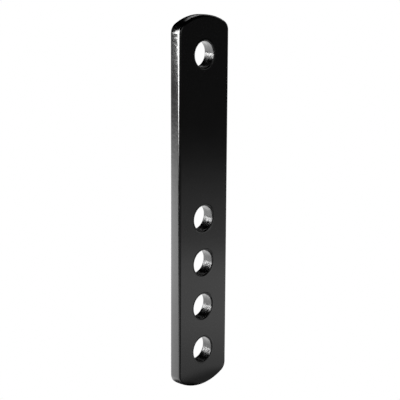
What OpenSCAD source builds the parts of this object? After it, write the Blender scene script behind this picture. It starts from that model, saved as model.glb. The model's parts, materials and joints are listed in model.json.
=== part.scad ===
// Adjustable lifting link: one length of hot-rolled flat steel bar with an arched end at the top
// and at the bottom, one suspension hole near the top and a row of adjustment holes near the
// bottom. It is a single piece of steel: nothing is welded, bolted or pressed to it.
// Origin: centre of the suspension hole, at mid thickness. +Z points up the bar, -Y is the front.
// All sizes are in millimetres and all angles in degrees.

/* [Bar] */
// Width across the flat bar
bar_w = 63.5; // [60:0.5:80]
// Thickness of the flat bar
bar_t = 12.7; // [8:0.1:20]
// Radius that rolling and deburring leave along every outer edge
edge_r = 2.4; // [0.8:0.1:3]

/* [Ends] */
// Radius of the arc across each end
end_arc_r = 55; // [50:1:90]
// Radius of the corner where an end arc meets a long edge
end_corner_r = 10; // [8:0.5:18]
// Distance from an outermost hole's centre to the tip of its end
end_margin = 35.7; // [30:0.1:60]

/* [Holes] */
// Diameter of every pin hole
hole_d = 23.8; // [12:0.1:26]
// Radius of the rounded rim at both mouths of a hole
rim_r = 1.5; // [0.5:0.1:2.5]
// Number of adjustment holes
adjust_count = 4; // [2:1:6]
// Distance between the centres of neighbouring adjustment holes
adjust_pitch = 42.9; // [36:0.1:80]
// Distance from the suspension hole to the first adjustment hole
suspension_gap = 152.4; // [60:0.1:300]

/* [Hidden] */

curve_fn = 96;
// How far a cutter runs past the surface that it cuts
over = 1;
// How far outside the outline an edge rounding starts, so that the surfaces cross cleanly
hair = 0.001;

half_w = bar_w / 2;
half_t = bar_t / 2;
hole_r = hole_d / 2;

// Heights of the hole centres and of the two tips
adjust_z = [for (i = [0 : adjust_count - 1]) -suspension_gap - i * adjust_pitch];
hole_z = concat([0], adjust_z);
tip_top = end_margin;
tip_bottom = adjust_z[adjust_count - 1] - end_margin;
middle_z = (tip_top + tip_bottom) / 2;
half_length = (tip_top - tip_bottom) / 2;

// Each corner round touches the end arc and the long edge from inside. Its centre is corner_rise
// above the arc's centre, and the end arc spans arc_half_angle on both sides of +Z.
corner_x = half_w - end_corner_r;
corner_rise = sqrt(pow(end_arc_r - end_corner_r, 2) - pow(corner_x, 2));
arc_half_angle = asin(corner_x / (end_arc_r - end_corner_r));

// Heights of those centres above the middle of the bar
arc_centre_up = half_length - end_arc_r;
corner_up = arc_centre_up + corner_rise;

// A point at the given angle from the vertical
function on_ray(angle, reach) = [reach * sin(angle), reach * cos(angle)];

// Outline of the upper end, about the middle of the bar
module end_outline() {
    translate([0, arc_centre_up])
        intersection() {
            circle(r = end_arc_r, $fn = curve_fn);
            polygon([
                [0, 0],
                on_ray(-arc_half_angle, 2 * end_arc_r),
                on_ray(arc_half_angle, 2 * end_arc_r)
            ]);
        }
    for (side = [-1, 1])
        translate([side * corner_x, corner_up])
            circle(r = end_corner_r, $fn = curve_fn);
}

// Outline of the whole bar, about its middle
module bar_outline() {
    square([bar_w, 2 * corner_up], center = true);
    for (flip = [0, 1])
        mirror([0, flip])
            end_outline();
}

// Cross-section of the rolled bar: a rectangle with four rounded corners
module rolled_section() {
    square([bar_w, bar_t - 2 * edge_r], center = true);
    square([bar_w - 2 * edge_r, bar_t], center = true);
    for (x = [-1, 1], y = [-1, 1])
        translate([x * (half_w - edge_r), y * (half_t - edge_r)])
            circle(r = edge_r, $fn = curve_fn);
}

// What rounding takes off a square corner that lies at [0, 0] and points towards +X and +Y
module corner_waste(radius) {
    translate([-radius, -radius])
        difference() {
            square(radius + over);
            circle(r = radius, $fn = curve_fn);
        }
}

// Both faces' corner waste of a round plate, out at the given reach
module rim_waste(reach) {
    for (flip = [0, 1])
        mirror([0, flip])
            translate([reach + hair, half_t])
                corner_waste(edge_r);
}

// Waste around an upper end: along the end arc, and along the corner on the +X side
module end_arc_waste() {
    translate([0, 0, arc_centre_up])
        rotate([90, 0, 0])
            rotate_extrude(angle = 180, $fn = curve_fn)
                rim_waste(end_arc_r);
}

module end_corner_waste() {
    translate([corner_x, 0, corner_up])
        rotate([90, 0, 0])
            rotate_extrude(angle = 90 - arc_half_angle, $fn = curve_fn)
                rim_waste(end_corner_r);
}

// The bar about its middle, before its holes are made
module blank() {
    difference() {
        intersection() {
            linear_extrude(height = 2 * (half_length + over), center = true)
                rolled_section();
            rotate([90, 0, 0])
                linear_extrude(height = bar_t, center = true)
                    bar_outline();
        }
        for (down = [0, 1])
            mirror([0, 0, down]) {
                end_arc_waste();
                for (left = [0, 1])
                    mirror([left, 0, 0])
                        end_corner_waste();
            }
    }
}

// One through hole, square to the bar's faces, with a rounded rim at both mouths
module pin_hole() {
    rotate([90, 0, 0])
        rotate_extrude($fn = curve_fn) {
            translate([0, -half_t - over])
                square([hole_r, bar_t + 2 * over]);
            for (flip = [0, 1])
                mirror([0, flip])
                    translate([hole_r, half_t])
                        mirror([1, 0])
                            corner_waste(rim_r);
        }
}

module link_bar() {
    color([0.05, 0.05, 0.055])
        difference() {
            translate([0, 0, middle_z])
                blank();
            for (z = hole_z)
                translate([0, 0, z])
                    pin_hole();
        }
}

link_bar();
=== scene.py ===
"""Looks for the adjustable lifting link: one black powder-coated steel bar with five pin holes.

The bar is rebuilt as a fine mesh of four-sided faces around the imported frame. Units are metres, and
the frame's axes are +Z up the bar, +X across it and -Y out of its front face.
"""
import json
import math

import bpy
from mathutils import Matrix, Vector


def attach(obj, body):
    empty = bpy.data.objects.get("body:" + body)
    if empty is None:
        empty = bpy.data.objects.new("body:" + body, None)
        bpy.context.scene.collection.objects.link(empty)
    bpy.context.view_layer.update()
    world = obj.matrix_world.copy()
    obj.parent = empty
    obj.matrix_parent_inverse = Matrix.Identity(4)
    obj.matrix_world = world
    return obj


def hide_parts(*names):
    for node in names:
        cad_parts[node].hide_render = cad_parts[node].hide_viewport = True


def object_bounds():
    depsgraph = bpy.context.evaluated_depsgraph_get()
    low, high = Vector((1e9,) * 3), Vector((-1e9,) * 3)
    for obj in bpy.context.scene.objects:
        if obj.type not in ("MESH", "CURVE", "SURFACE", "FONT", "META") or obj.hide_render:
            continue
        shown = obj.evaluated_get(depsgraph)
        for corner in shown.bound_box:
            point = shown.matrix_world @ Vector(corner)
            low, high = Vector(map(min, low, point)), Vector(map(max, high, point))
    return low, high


MM = 0.001

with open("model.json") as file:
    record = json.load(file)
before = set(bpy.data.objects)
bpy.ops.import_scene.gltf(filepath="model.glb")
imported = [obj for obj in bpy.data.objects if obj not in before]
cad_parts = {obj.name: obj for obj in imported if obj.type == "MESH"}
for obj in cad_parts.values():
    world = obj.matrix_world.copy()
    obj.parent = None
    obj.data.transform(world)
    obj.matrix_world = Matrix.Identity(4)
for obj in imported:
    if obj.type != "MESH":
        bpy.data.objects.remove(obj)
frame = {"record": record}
cad_low, cad_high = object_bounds()

# ---------------------------------------------------------------- sizes

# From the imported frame
half_w = (cad_high.x - cad_low.x) / 2
half_t = (cad_high.y - cad_low.y) / 2
tip_top = cad_high.z
tip_bottom = cad_low.z
middle_z = (tip_top + tip_bottom) / 2
ground = tip_bottom
bores = [m for m in frame["record"]["mounts"] if m["kind"] == "bore"]
hole_z = sorted((m["pos_m"][2] for m in bores), reverse=True)
hole_pitch = hole_z[1] - hole_z[2]
hole_r = bores[0]["dims"]["r_mm"] * MM
rim_r = half_t - bores[0]["dims"]["length_mm"] * MM / 2

# The design's own dimensions
end_arc_r = 55 * MM
end_corner_r = 10 * MM
edge_r = 2.2 * MM
crown = math.radians(4)      # lean of a narrow side where it meets an edge round: it is slightly convex

# Mesh density
side_steps = 32              # along each of the four sides of the patch around a hole
corner_steps = 9             # of those, along each corner round of an end
patch_rings = 9              # from a hole's rim out to its patch's sides
ring_crowding = 1.4          # above 1 draws those rings towards the rim
round_steps = 7              # around an edge or a rim
crown_steps = 3              # from an edge round to the middle of a narrow side
wall_steps = 4               # along the straight wall of a hole
gap_steps = 34               # along the plain length below the suspension hole
same_place = 0.01 * MM       # vertices closer than about this are one vertex


def blend_between(a, b, share):
    return a + (b - a) * share


# ---------------------------------------------------------------- sections

def edge_section():
    """Section of an outer edge, from the flat of a face to the middle of the narrow side. Each entry
    is the inset from the outline, the depth from mid thickness, and the angle of the outward normal,
    from 90 degrees where it faces the front to 0 where it faces the side."""
    lean = math.sin(crown)
    crown_r = (half_t - edge_r * (1 - lean)) / lean
    round_inset = crown_r * (1 - math.cos(crown)) + edge_r * math.cos(crown)
    round_depth = half_t - edge_r
    section = []
    for i in range(round_steps + 1):
        a = blend_between(math.pi / 2, crown, i / round_steps)
        section.append((round_inset - edge_r * math.cos(a), round_depth + edge_r * math.sin(a), a))
    for i in range(1, crown_steps + 1):
        a = crown * (1 - i / crown_steps)
        section.append((crown_r * (1 - math.cos(a)), crown_r * math.sin(a), a))
    return section


def hole_section():
    """The same for a hole: the inset is counted from its wall, into the steel."""
    section = []
    for i in range(round_steps + 1):
        a = math.pi / 2 * (1 - i / round_steps)
        section.append((rim_r * (1 - math.cos(a)), half_t - rim_r + rim_r * math.sin(a), a))
    for i in range(1, wall_steps + 1):
        section.append((0, (half_t - rim_r) * (1 - i / wall_steps), 0))
    return section


def both_halves(section):
    """A section carried on from mid thickness to the back face."""
    return section + [(inset, -depth, -a) for inset, depth, a in reversed(section[:-1])]


# ---------------------------------------------------------------- outlines

def end_outline(up):
    """Points of one end's outline from its left long edge, over the tip, to its right long edge, as
    (x, z, outward x, outward z). up is 1 for the top end and -1 for the bottom one."""
    corner_x = half_w - end_corner_r
    centres_apart = end_arc_r - end_corner_r
    half_angle = math.asin(corner_x / centres_apart)
    arc_z = (tip_top if up > 0 else tip_bottom) - up * end_arc_r
    corner_z = arc_z + up * math.sqrt(centres_apart ** 2 - corner_x ** 2)
    arc_steps = side_steps - 2 * corner_steps
    corner_angles = [blend_between(math.pi / 2, half_angle, i / corner_steps) for i in range(corner_steps)]
    arc_angles = [half_angle * (2 * i / arc_steps - 1) for i in range(arc_steps + 1)]
    stations = [(-corner_x, corner_z, end_corner_r, -a) for a in corner_angles]
    stations += [(0, arc_z, end_arc_r, a) for a in arc_angles]
    stations += [(corner_x, corner_z, end_corner_r, a) for a in reversed(corner_angles)]
    return [(x + r * math.sin(a), z + up * r * math.cos(a), math.sin(a), up * math.cos(a))
            for x, z, r, a in stations]


def line_heights():
    """Heights of the lines between the patches: at the top end's corners, below the suspension hole,
    above each adjustment hole, and at the bottom end's corners."""
    lines = [end_outline(1)[0][1], hole_z[0] - hole_pitch / 2]
    lines += [z + hole_pitch / 2 for z in hole_z[1:]]
    lines.append(end_outline(-1)[0][1])
    return lines


def row_heights(lines):
    """Heights of the rows of the long sides, from the top line down to the bottom one."""
    steps_between = [side_steps, gap_steps] + [side_steps] * len(hole_z[1:])
    levels = [lines[0]]
    for above, below, steps in zip(lines, lines[1:], steps_between):
        levels += [blend_between(above, below, i / steps) for i in range(1, steps + 1)]
    return levels


def outline_loop(levels):
    """The whole outline, clockwise seen from the front."""
    right = [(half_w, z, 1, 0) for z in levels[1:-1]]
    left = [(-half_w, z, -1, 0) for z in reversed(levels[1:-1])]
    return end_outline(1) + right + list(reversed(end_outline(-1))) + left


def hole_loop(z):
    """A hole's outline, clockwise seen from the front, from its upper left."""
    count = 4 * side_steps
    angles = [-math.pi / 4 + 2 * math.pi * i / count for i in range(count)]
    return [(hole_r * math.sin(a), z + hole_r * math.cos(a), math.sin(a), math.cos(a)) for a in angles]


def level_row(z, flat_half):
    """A level row of points across the flat of a face."""
    return [(flat_half * (2 * i / side_steps - 1), z) for i in range(side_steps + 1)]


def inset_row(outline, inset):
    return [(x - nx * inset, z - nz * inset) for x, z, nx, nz in outline]


def patch_border(top, bottom):
    """Clockwise border of a patch, from its upper left, given its top and bottom rows left to right."""
    right = []
    for i in range(1, side_steps):
        share = i / side_steps
        right.append((blend_between(top[-1][0], bottom[-1][0], share),
                      blend_between(top[-1][1], bottom[-1][1], share)))
    left = [(-x, z) for x, z in reversed(right)]
    return top + right + list(reversed(bottom)) + left


def patch_ring_rows(mouth, border):
    """Closed rings of points from the mouth of a hole out to the border of its patch."""
    rings = []
    for k in range(patch_rings + 1):
        share = (k / patch_rings) ** ring_crowding
        ring = [(blend_between(a[0], b[0], share), blend_between(a[1], b[1], share))
                for a, b in zip(mouth, border)]
        rings.append(ring + ring[:1])
    return rings


# ---------------------------------------------------------------- the mesh

class Surface:
    """Vertices that meet are one vertex. Each carries its exact normal, how far it is on a rounded
    edge, whether it is inside a hole and whether it is on a narrow side (each 0 to 1)."""

    def __init__(self):
        self.index = {}
        self.points = []
        self.normals = []
        self.faces = []
        self.rounded = []
        self.inside = []
        self.narrow = []

    def point(self, place, normal, rounded=0.0, inside=0.0, narrow=0.0):
        key = tuple(round(c / same_place) for c in place)
        if key not in self.index:
            self.index[key] = len(self.points)
            self.points.append(place)
            self.normals.append(normal)
            self.rounded.append(rounded)
            self.inside.append(inside)
            self.narrow.append(narrow)
        return self.index[key]

    def strips(self, rows, closed=False):
        """Four-sided faces between neighbouring rows of vertices."""
        for upper, lower in zip(rows, rows[1:]):
            count = len(upper)
            for i in range(count if closed else count - 1):
                j = (i + 1) % count
                corners = (upper[i], upper[j], lower[j], lower[i])
                if len(set(corners)) == len(corners):
                    self.faces.append(corners)

    def sweep(self, loop, section, inward, inside):
        """Carries a section round a closed loop of (x, z, outward x, outward z)."""
        rows = []
        for inset, depth, a in both_halves(section):
            side = math.cos(a)
            front = math.sin(a)
            shift = inward * inset
            rounded = math.sin(2 * abs(a))
            narrow = (1 - inside) * side ** 4      # the high power fades it early on the edge rounds
            row = []
            for x, z, nx, nz in loop:
                place = (x + nx * shift, -depth, z + nz * shift)
                normal = (-inward * nx * side, -front, -inward * nz * side)
                row.append(self.point(place, normal, rounded, inside, narrow))
            rows.append(row)
        self.strips(rows, closed=True)

    def flat(self, rows):
        """Rows of (x, z) on the front face, and the same on the back face."""
        for side in (-1, 1):
            normal = (0, side, 0)
            self.strips([[self.point((x, side * half_t, z), normal) for x, z in row] for row in rows])


def build_bar():
    surface = Surface()
    flat_inset = edge_section()[0][0]
    flat_half = half_w - flat_inset
    lines = line_heights()
    levels = row_heights(lines)
    surface.sweep(outline_loop(levels), edge_section(), -1, 0.0)

    # Plain length below the suspension hole
    gap_levels = [z for z in levels if lines[2] - same_place <= z <= lines[1] + same_place]
    surface.flat([level_row(z, flat_half) for z in gap_levels])

    # A patch of rings around each hole, and the hole itself
    tops = [inset_row(end_outline(1), flat_inset)]
    tops += [level_row(z, flat_half) for z in lines[2:-1]]
    bottoms = [level_row(z, flat_half) for z in [lines[1]] + lines[3:-1]]
    bottoms.append(inset_row(end_outline(-1), flat_inset))
    for z, top, bottom in zip(hole_z, tops, bottoms):
        loop = hole_loop(z)
        surface.sweep(loop, hole_section(), 1, 1.0)
        surface.flat(patch_ring_rows(inset_row(loop, -rim_r), patch_border(top, bottom)))
    return surface


def mesh_object(name, surface):
    mesh = bpy.data.meshes.new(name)
    mesh.from_pydata(surface.points, [], surface.faces)
    mesh.validate()
    for attribute in ("rounded", "inside", "narrow"):
        values = getattr(surface, attribute)
        mesh.attributes.new(attribute, "FLOAT", "POINT").data.foreach_set("value", values)
    obj = bpy.data.objects.new(name, mesh)
    bpy.context.scene.collection.objects.link(obj)
    # Faces wound so that they all point out
    bpy.context.view_layer.objects.active = obj
    obj.select_set(True)
    bpy.ops.object.mode_set(mode="EDIT")
    bpy.ops.mesh.select_all(action="SELECT")
    bpy.ops.mesh.normals_make_consistent(inside=False)
    bpy.ops.object.mode_set(mode="OBJECT")
    mesh.polygons.foreach_set("use_smooth", [True] * len(mesh.polygons))
    mesh.normals_split_custom_set_from_vertices(surface.normals)
    return obj


# ---------------------------------------------------------------- materials

def node(tree, kind, inputs=None, **settings):
    """Adds a shader node, with its settings and its inputs' values or links."""
    made = tree.nodes.new(kind)
    for key, value in settings.items():
        setattr(made, key, value)
    for key, value in (inputs or {}).items():
        if isinstance(value, bpy.types.NodeSocket):
            tree.links.new(value, made.inputs[key])
        else:
            made.inputs[key].default_value = value
    return made


def noise_of(tree, place, scale, detail):
    """Noise with about the given number of lumps per metre."""
    return node(tree, "ShaderNodeTexNoise", {
        "Vector": place, "Scale": scale, "Detail": detail, "Roughness": 0.5}).outputs["Fac"]


def arithmetic(tree, operation, a, b):
    return node(tree, "ShaderNodeMath", {0: a, 1: b}, operation=operation).outputs[0]


def spread(tree, value, low, high):
    """Maps the middle of a noise's range to low..high."""
    return node(tree, "ShaderNodeMapRange", {
        "Value": value, "From Min": 0.3, "From Max": 0.7, "To Min": low, "To Max": high}).outputs[0]


def vertex_value(tree, attribute):
    return node(tree, "ShaderNodeAttribute", attribute_name=attribute).outputs["Fac"]


def relief(tree, height, depth, over=None):
    """The normal of a bump of the given depth, over that of the layer below it."""
    inputs = {"Strength": 1.0, "Distance": depth, "Height": height}
    if over is not None:
        inputs["Normal"] = over
    return node(tree, "ShaderNodeBump", inputs).outputs[0]


def coat_normal(tree, place, inside, narrow):
    """Orange peel over rolled steel: the steel is faintly uneven over a centimetre or two, and the
    drilled walls and the narrow sides are rougher. The peel is soft dimples about 2 mm across, with
    finer ones among them."""
    steel = noise_of(tree, place, 55.0, 1.0)
    drilled = arithmetic(tree, "MULTIPLY", noise_of(tree, place, 300.0, 1.0), inside)
    rolled = arithmetic(tree, "MULTIPLY", noise_of(tree, place, 330.0, 1.0), narrow)
    dimples = noise_of(tree, place, 430.0, 1.5)
    fine_dimples = arithmetic(tree, "MULTIPLY", noise_of(tree, place, 1150.0, 1.0), 0.35)
    peel = arithmetic(tree, "ADD", dimples, fine_dimples)

    steel_normal = relief(tree, steel, 0.03 * MM)
    wall_normal = relief(tree, drilled, 0.24 * MM, steel_normal)
    side_normal = relief(tree, rolled, 0.07 * MM, wall_normal)
    return relief(tree, peel, 0.016 * MM, side_normal)


def coat_roughness(tree, place, rounded, inside):
    """Cloudy gloss, a little duller where the coat draws thin over the rounded edges, and patchy on
    the walls of the holes."""
    cloud = spread(tree, noise_of(tree, place, 38.0, 3.0), 0.11, 0.16)
    thin = arithmetic(tree, "MULTIPLY", rounded, 0.03)
    patches = spread(tree, noise_of(tree, place, 210.0, 2.0), 0.05, 0.2)
    dull = arithmetic(tree, "MULTIPLY", patches, inside)
    return arithmetic(tree, "ADD", arithmetic(tree, "ADD", cloud, thin), dull)


def coat_colour(tree, place):
    """Near black, with a fine grain."""
    grain = noise_of(tree, place, 900.0, 3.0)
    shade = node(tree, "ShaderNodeMix", {"Factor": spread(tree, grain, 0.0, 1.0)}, data_type="RGBA")
    shade.inputs["A"].default_value = (0.0028, 0.0028, 0.0031, 1)
    shade.inputs["B"].default_value = (0.0052, 0.0052, 0.0056, 1)
    return shade.outputs["Result"]


def powder_coat():
    """Gloss black powder coat on rolled steel."""
    material = bpy.data.materials.new("gloss_black_powder_coat")
    material.use_nodes = True
    tree = material.node_tree
    shader = tree.nodes["Principled BSDF"]
    place = node(tree, "ShaderNodeTexCoord").outputs["Object"]
    rounded = vertex_value(tree, "rounded")
    inside = vertex_value(tree, "inside")
    narrow = vertex_value(tree, "narrow")
    tree.links.new(coat_colour(tree, place), shader.inputs["Base Color"])
    tree.links.new(coat_roughness(tree, place, rounded, inside), shader.inputs["Roughness"])
    tree.links.new(coat_normal(tree, place, inside, narrow), shader.inputs["Normal"])
    shader.inputs["IOR"].default_value = 1.5
    return material


# ---------------------------------------------------------------- the floor's painted glow of lamp light and shade, as the steel mirrors it

# The bar is a dark mirror, so the light and shade painted into the floor's glow give it its look: painted
# pools of lamp light, painted shade on the camera's side and a painted shadow at the bar's foot. Below,
# distance is from the bar, behind is the part of it away from the camera, and aside the part across. turn
# is the direction from the bar in degrees, clockwise seen from above: 0 back left, 90 behind, 180 front
# right, and both
# -90 and 270 towards the camera.

camera_direction = 226       # degrees on the floor, anticlockwise from +X seen from above
unlit = 0.075                # painted brightness of the floor where no painted pool of lamp light reaches, against 1 for white


def ease(value, low, high):
    """0 up to low, 1 from high, and a smooth rise between them."""
    share = min(1, max(0, (value - low) / (high - low)))
    return share * share * (3 - 2 * share)


def painted_pool_reach(turn, distance, behind, aside):
    """1 where the two painted pools of lamp light lie on the floor and 0 on the camera's side of it, which
    is painted shade. The line between the two is soft, runs close past the bar, and bends out towards the
    camera on the bar's left."""
    gap = 0.033              # from the bar's axis to the line
    left_gap = 0.045         # what is added to it on the left
    bulge = 0.15 * (1 - ease(distance, 0.4, 0.85))
    left = ease(turn, -88, -45) * (1 - ease(turn, 60, 120))
    margin = gap + left * (left_gap + bulge)
    softness = 0.012
    dark = -(margin + softness + 0.18 * aside)
    bright = -(margin + 0.06 * aside)
    return ease(behind, dark, bright)


def painted_back_left_pool(turn, distance):
    """The main painted pool of lamp light on the floor. It is brightest about half a metre out, and near
    the bar it stops short of the camera's side."""
    painted_glow = blend_between(3.0, 4.2, ease(distance, 0.05, 0.5))
    painted_glow *= blend_between(1, 0.07, ease(distance, 0.65, 1.95))
    painted_glow *= 1 - ease(turn, 45, 130)
    painted_glow *= blend_between(ease(turn, -80, -56), 1, ease(distance, 0.07, 0.12))
    return painted_glow


def painted_front_right_pool(turn, distance):
    """The weaker painted pool of lamp light, from the front round to the right. It dies out beyond a
    metre.
    """
    painted_glow = 0.95 * (ease(turn, 125, 172) - ease(turn, 225, 268))
    painted_glow *= blend_between(0.58, 1, ease(distance, 0, 0.22))
    painted_glow *= blend_between(1, 0.5, ease(distance, 0.38, 0.56))
    painted_glow *= 1 - ease(distance, 0.5, 1.35)
    return painted_glow


def painted_camera_side_patch(distance, behind, aside):
    """A weak painted patch of lamp light straight in front of the bar's left front edge."""
    return 0.8 * ease(-behind - 1.3 * aside, 0.03, 0.15) * (1 - ease(distance, 0.1, 0.85))


def painted_front_patch(x, y, distance):
    """A weak painted patch of lamp light straight in front of the front face."""
    return 0.3 * ease(-y - 2.2 * abs(x), 0.1, 0.3) * (1 - ease(distance, 0.6, 1.3))


def painted_contact_shadow(x, y, turn):
    """The painted shadow at the bar's foot, which is wider and weaker on the right and in front."""
    right = ease(turn, 60, 150) * (1 - ease(turn, 225, 270))
    reach = blend_between(0.02, 0.04, right)
    deepest = blend_between(0.02, 0.4, right)
    foot_half = 0.8 * half_w     # the arched end rests on less than its width
    from_foot = math.hypot(max(0, abs(x) - foot_half), y)
    return blend_between(deepest, 1, ease(from_foot, 0.45 * reach, reach))


def painted_floor_light(x, y):
    """The painted light and shade of the floor where the steel mirrors it, against 1 for white."""
    distance = math.hypot(x, y)
    turn = (camera_direction - math.degrees(math.atan2(y, x))) % 360 - 90
    away = math.radians(camera_direction - 180)
    behind = x * math.cos(away) + y * math.sin(away)
    aside = math.sqrt(max(0, distance ** 2 - behind ** 2))
    # painted pools of lamp light, cut off by painted shade on the camera's side
    painted_pools = painted_back_left_pool(turn, distance) + painted_front_right_pool(turn, distance)
    light = unlit + painted_pool_reach(turn, distance, behind, aside) * painted_pools
    light += painted_camera_side_patch(distance, behind, aside)
    light += painted_front_patch(x, y, distance)
    return painted_contact_shadow(x, y, turn) * light


def floor_mesh():
    """A disc of rings that grow outwards from the bar, with the painted light and shade of its glow in a
    point attribute.
    """
    count = 240                  # points on a ring
    rings = 78
    innermost = 8 * MM
    growth = 1.12                # from one ring's radius to the next
    radii = [innermost * growth ** k for k in range(rings)]
    angles = [2 * math.pi * i / count for i in range(count)]
    points = [(r * math.cos(a), r * math.sin(a), ground) for r in radii for a in angles]
    points.append((0, 0, ground))
    faces = []
    for inner in range(0, count * (rings - 1), count):
        outer = inner + count
        for i in range(count):
            j = (i + 1) % count
            faces.append((outer + i, outer + j, inner + j, inner + i))
    centre = len(points) - 1
    faces += [(centre, i, (i + 1) % count) for i in range(count)]
    mesh = bpy.data.meshes.new("floor")
    mesh.from_pydata(points, [], faces)
    painted_glow = [painted_floor_light(x, y) for x, y, z in points]
    mesh.attributes.new("painted_glow", "FLOAT", "POINT").data.foreach_set("value", painted_glow)
    return mesh


def pale_floor():
    """The eye sees the floor plain white, and the steel mirrors its painted glow of lamp light and shade.
    """
    material = bpy.data.materials.new("pale_floor")
    material.use_nodes = True
    tree = material.node_tree
    tree.nodes.clear()
    seen = node(tree, "ShaderNodeLightPath").outputs["Is Camera Ray"]
    painted_glow = vertex_value(tree, "painted_glow")
    # painted light and shade for reflections, plain white for the camera
    strength = node(tree, "ShaderNodeMix", {"Factor": seen, "A": painted_glow, "B": 1.0}).outputs["Result"]
    light = node(tree, "ShaderNodeEmission", {"Strength": strength})
    node(tree, "ShaderNodeOutputMaterial", {"Surface": light.outputs[0]})
    return material


def make_floor():
    mesh = floor_mesh()
    mesh.materials.append(pale_floor())
    floor = bpy.data.objects.new("floor", mesh)
    bpy.context.scene.collection.objects.link(floor)


# ---------------------------------------------------------------- lights and camera

def softbox(name, place, aim, width, height, radiance, lean=0):
    """An oval area light of the given brightness all over. place is (x, y, height above the floor), and
    it faces the bar's axis at the height aim. Seen from the bar, its top leans left by lean degrees."""
    light = bpy.data.lights.new(name, "AREA")
    light.shape = "ELLIPSE"
    light.size = width
    light.size_y = height
    light.energy = radiance * math.pi * (math.pi / 4 * width * height)
    obj = bpy.data.objects.new(name, light)
    obj.location = (place[0], place[1], ground + place[2])
    facing = (Vector((0, 0, ground + aim)) - obj.location).to_track_quat("-Z", "Y").to_matrix()
    obj.rotation_euler = (facing @ Matrix.Rotation(-math.radians(lean), 3, "Z")).to_euler()
    obj.visible_camera = False
    obj.visible_diffuse = False
    bpy.context.scene.collection.objects.link(obj)


def make_lights():
    softbox("left_softbox", (-0.786, 0.146, 0.525), aim=0.525, width=1.12, height=0.87, radiance=13.0)
    softbox("left_window", (-0.779, 0.18, 0.412), aim=0.412, width=0.84, height=0.6, radiance=21.0)
    softbox("low_window", (-2.16, 2.08, 0.3), aim=0.2, width=0.9, height=0.34, radiance=22.0)
    softbox("back_strip", (0.69, 0.83, 0.88), aim=0.35, width=0.06, height=0.85, radiance=0.9, lean=25)
    softbox("right_fill", (1.5, -0.1, 0.9), aim=0.2, width=0.9, height=1.5, radiance=0.7)
    softbox("front_fill", (0, -1.6, 0.6), aim=0.2, width=1.6, height=0.9, radiance=0.8)


def make_world():
    """A white background that only the camera sees."""
    world = bpy.data.worlds.new("room")
    bpy.context.scene.world = world
    world.use_nodes = True
    world.node_tree.nodes["Background"].inputs["Color"].default_value = (1, 1, 1, 1)
    world.cycles_visibility.diffuse = False
    world.cycles_visibility.glossy = False


def make_camera():
    azimuth = math.radians(-45.4)
    elevation = math.radians(13.2)
    roll = math.radians(0.333)
    distance = 1.12
    right_of_axis = 3.62 * MM    # where the bar's middle lies in the picture
    below_axis = 5.63 * MM
    level = math.cos(elevation)
    back = Vector((math.sin(azimuth) * level, -math.cos(azimuth) * level, math.sin(elevation)))
    right = Vector((math.cos(azimuth), math.sin(azimuth), 0))
    up = back.cross(right)
    tilt = Matrix.Rotation(roll, 3, back)
    right = tilt @ right
    up = tilt @ up
    camera = bpy.data.objects.new("camera", bpy.data.cameras.new("camera"))
    camera.data.lens = 108.6
    camera.data.sensor_width = 36.0
    camera.matrix_world = Matrix((right, up, back)).transposed().to_4x4()
    front_middle = Vector((0, cad_low.y, middle_z))
    camera.location = front_middle + back * distance - right * right_of_axis + up * below_axis
    bpy.context.scene.collection.objects.link(camera)
    bpy.context.scene.camera = camera


make_camera()
make_floor()
make_world()
make_lights()

bar = mesh_object("link_bar_coated", build_bar())
bar.data.materials.append(powder_coat())
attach(bar, "root")
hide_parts("link_bar")

bpy.context.scene.view_settings.view_transform = "Standard"
